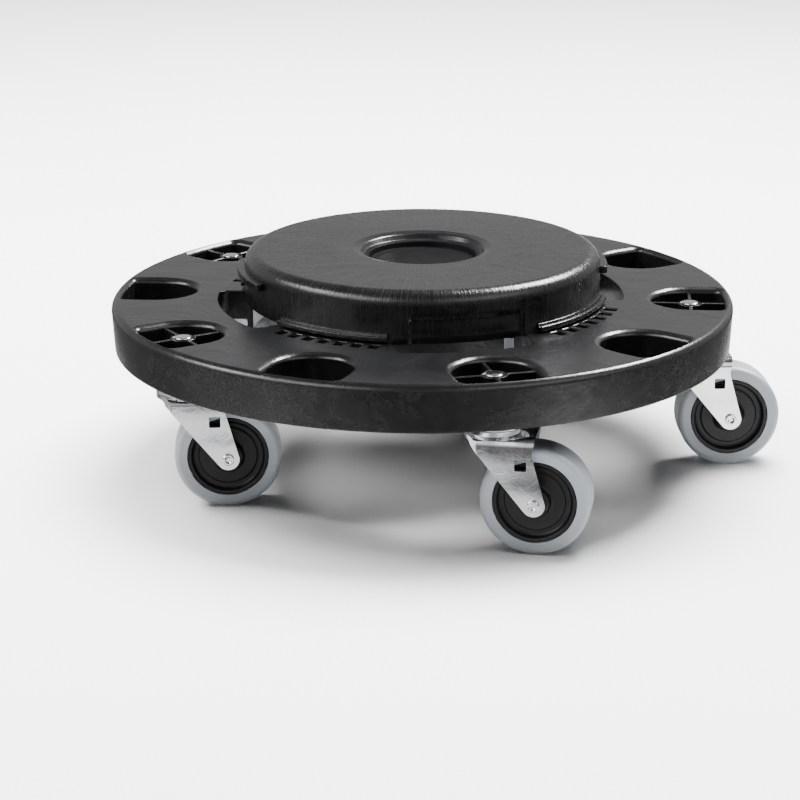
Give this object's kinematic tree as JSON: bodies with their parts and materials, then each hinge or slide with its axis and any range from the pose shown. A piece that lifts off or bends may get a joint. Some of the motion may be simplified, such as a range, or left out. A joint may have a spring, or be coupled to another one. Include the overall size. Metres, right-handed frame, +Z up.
{
  "type": "furniture dolly",
  "caption": "Round moulded dolly with a raised twist-lock drum and dished middle, carried on swivel casters under its rim.",
  "frame": {"origin": "centre of the flat floor of the dish in the drum's top, on the deck's axis; the wheels stand 153 mm below it", "axes": "+Z up along the deck's axis, +X the way the casters trail, so the front caster is near -Y"},
  "size_m": [0.4995, 0.464, 0.163],
  "materials": {
    "deck_plastic": "satin black moulded polyethylene with faint flow marks",
    "hub_plastic": "satin black moulded plastic",
    "tread_rubber": "smooth grey thermoplastic rubber",
    "zinc_steel": "bright zinc-plated pressed steel",
    "bearing_steel": "polished steel"
  },
  "bodies": {
    "deck": {"deck": "deck_plastic", "drum": "deck_plastic", "front_king_bolt": "zinc_steel", "front_king_nut": "zinc_steel", "front_top_race": "zinc_steel", "right_king_bolt": "zinc_steel", "right_king_nut": "zinc_steel", "right_top_race": "zinc_steel", "rear_right_king_bolt": "zinc_steel", "rear_right_king_nut": "zinc_steel", "rear_right_top_race": "zinc_steel", "rear_left_king_bolt": "zinc_steel", "rear_left_king_nut": "zinc_steel", "rear_left_top_race": "zinc_steel", "left_king_bolt": "zinc_steel", "left_king_nut": "zinc_steel", "left_top_race": "zinc_steel"},
    "front_caster": {"front_fork": "zinc_steel", "front_upper_balls": "bearing_steel", "front_lower_balls": "bearing_steel", "front_axle": "zinc_steel", "front_axle_nut": "zinc_steel", "front_bush": "bearing_steel"},
    "front_wheel": {"front_hub": "hub_plastic", "front_tread": "tread_rubber"},
    "right_caster": {"right_fork": "zinc_steel", "right_upper_balls": "bearing_steel", "right_lower_balls": "bearing_steel", "right_axle": "zinc_steel", "right_axle_nut": "zinc_steel", "right_bush": "bearing_steel"},
    "right_wheel": {"right_hub": "hub_plastic", "right_tread": "tread_rubber"},
    "rear_right_caster": {"rear_right_fork": "zinc_steel", "rear_right_upper_balls": "bearing_steel", "rear_right_lower_balls": "bearing_steel", "rear_right_axle": "zinc_steel", "rear_right_axle_nut": "zinc_steel", "rear_right_bush": "bearing_steel"},
    "rear_right_wheel": {"rear_right_hub": "hub_plastic", "rear_right_tread": "tread_rubber"},
    "rear_left_caster": {"rear_left_fork": "zinc_steel", "rear_left_upper_balls": "bearing_steel", "rear_left_lower_balls": "bearing_steel", "rear_left_axle": "zinc_steel", "rear_left_axle_nut": "zinc_steel", "rear_left_bush": "bearing_steel"},
    "rear_left_wheel": {"rear_left_hub": "hub_plastic", "rear_left_tread": "tread_rubber"},
    "left_caster": {"left_fork": "zinc_steel", "left_upper_balls": "bearing_steel", "left_lower_balls": "bearing_steel", "left_axle": "zinc_steel", "left_axle_nut": "zinc_steel", "left_bush": "bearing_steel"},
    "left_wheel": {"left_hub": "hub_plastic", "left_tread": "tread_rubber"}
  },
  "joints": [
    {"name": "front_swivel", "type": "hinge", "parent": "deck", "child": "front_caster", "pos_m": [0.04838, -0.19406, -0.068], "axis": [0, 0, 1], "continuous": true},
    {"name": "front_roll", "type": "hinge", "parent": "front_caster", "child": "front_wheel", "pos_m": [0.07793, -0.19927, -0.1149], "axis": [0.1736, 0.9848, 0], "continuous": true},
    {"name": "right_swivel", "type": "hinge", "parent": "deck", "child": "right_caster", "pos_m": [0.19951, -0.01395, -0.068], "axis": [0, 0, 1], "continuous": true},
    {"name": "right_roll", "type": "hinge", "parent": "right_caster", "child": "right_wheel", "pos_m": [0.22947, -0.01238, -0.1149], "axis": [-0.0523, 0.9986, 0], "continuous": true},
    {"name": "rear_right_swivel", "type": "hinge", "parent": "deck", "child": "rear_right_caster", "pos_m": [0.07492, 0.18544, -0.068], "axis": [0, 0, 1], "continuous": true},
    {"name": "rear_right_roll", "type": "hinge", "parent": "rear_right_caster", "child": "rear_right_wheel", "pos_m": [0.10492, 0.18544, -0.1149], "axis": [0, 1, 0], "continuous": true},
    {"name": "rear_left_swivel", "type": "hinge", "parent": "deck", "child": "rear_left_caster", "pos_m": [-0.15321, 0.12856, -0.068], "axis": [0, 0, 1], "continuous": true},
    {"name": "rear_left_roll", "type": "hinge", "parent": "rear_left_caster", "child": "rear_left_wheel", "pos_m": [-0.12321, 0.12856, -0.1149], "axis": [0, 1, 0], "continuous": true},
    {"name": "left_swivel", "type": "hinge", "parent": "deck", "child": "left_caster", "pos_m": [-0.16961, -0.10598, -0.068], "axis": [0, 0, 1], "continuous": true},
    {"name": "left_roll", "type": "hinge", "parent": "left_caster", "child": "left_wheel", "pos_m": [-0.1397, -0.10363, -0.1149], "axis": [-0.0785, 0.9969, 0], "continuous": true}
  ]
}
